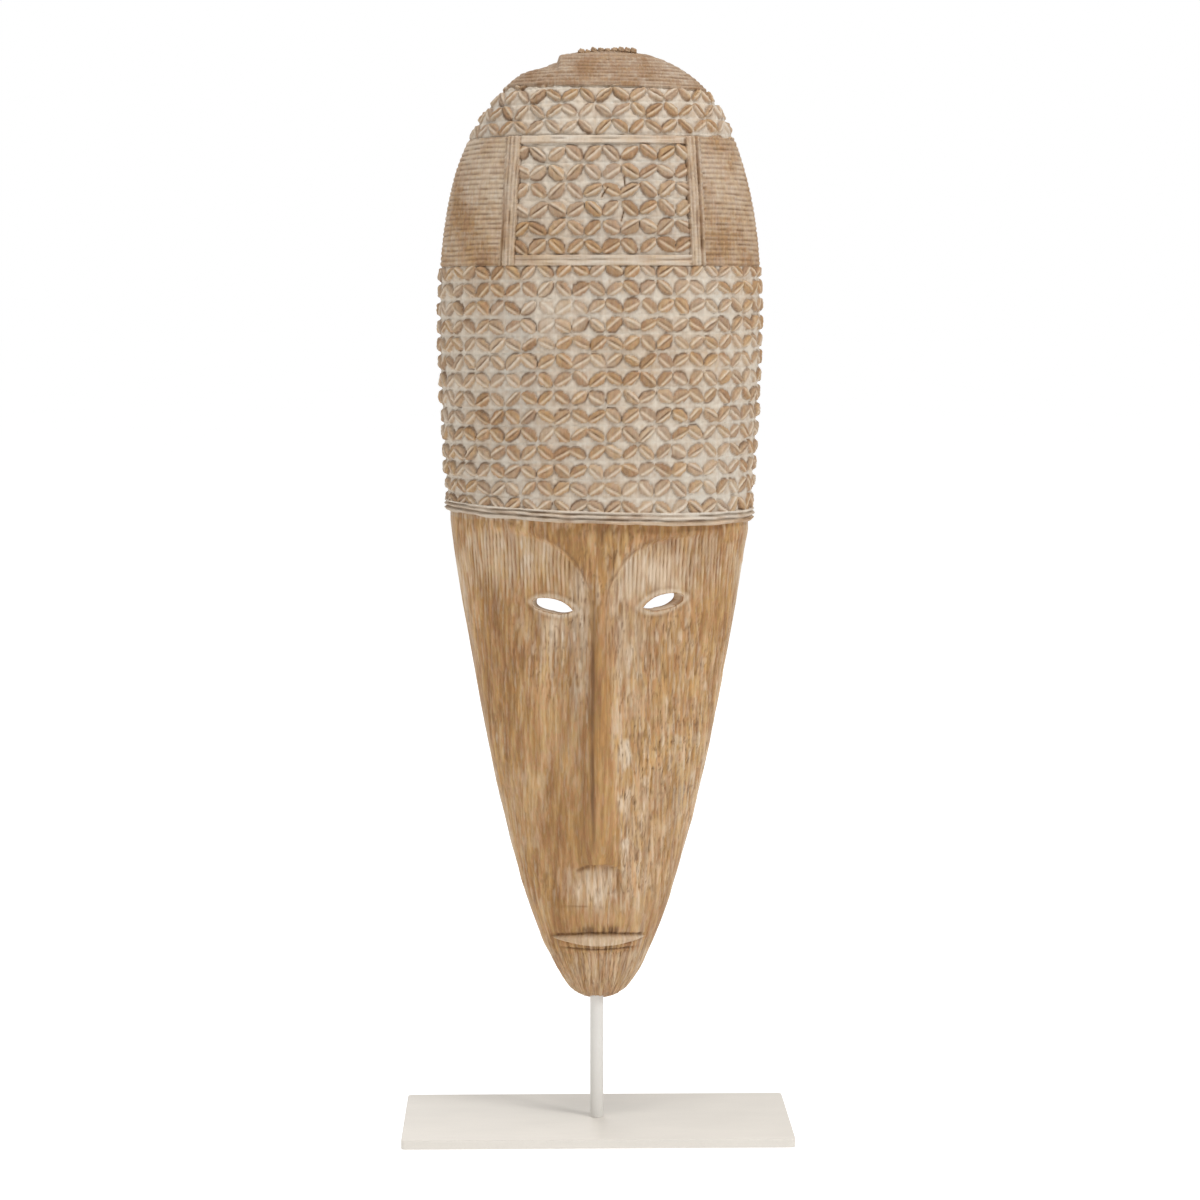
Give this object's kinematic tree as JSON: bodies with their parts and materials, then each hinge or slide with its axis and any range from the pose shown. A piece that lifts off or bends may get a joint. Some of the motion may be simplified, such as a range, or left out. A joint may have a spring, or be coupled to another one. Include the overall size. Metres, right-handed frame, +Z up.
{
  "type": "carved wooden mask on a stand",
  "caption": "Long carved wooden mask with a patterned headdress, a slim face and a hollow back, held by a rod on a flat rectangular steel base.",
  "frame": {"origin": "centre of the stand's rectangular footprint, on the surface its foot pads rest on", "axes": "+Z up along the rod, -Y out of the front of the mask, +X to the right of someone facing the mask"},
  "size_m": [0.21, 0.095, 0.585],
  "materials": {
    "plate_coat": "matt off-white powder coat",
    "rod_coat": "matt off-white powder coat",
    "pad_rubber": "soft grey bumper pad",
    "screw_steel": "zinc-plated",
    "carved_wood": "dry light brown wood with white wash left in the carving"
  },
  "bodies": {
    "stand": {"base_plate": "plate_coat", "foot_pad_front_left": "pad_rubber", "foot_pad_front_right": "pad_rubber", "foot_pad_rear_left": "pad_rubber", "foot_pad_rear_right": "pad_rubber"},
    "rod": {"stand_rod": "rod_coat", "rod_screw": "screw_steel"},
    "head": {"mask": "carved_wood"}
  },
  "joints": [
    {"name": "mask_turn", "type": "hinge", "parent": "stand", "child": "rod", "pos_m": [0, 0, 0], "axis": [0, 0, 1], "continuous": true},
    {"name": "mask_lift", "type": "slide", "parent": "rod", "child": "head", "axis": [0, 0, 1], "range_m": [0, 0.065]}
  ]
}
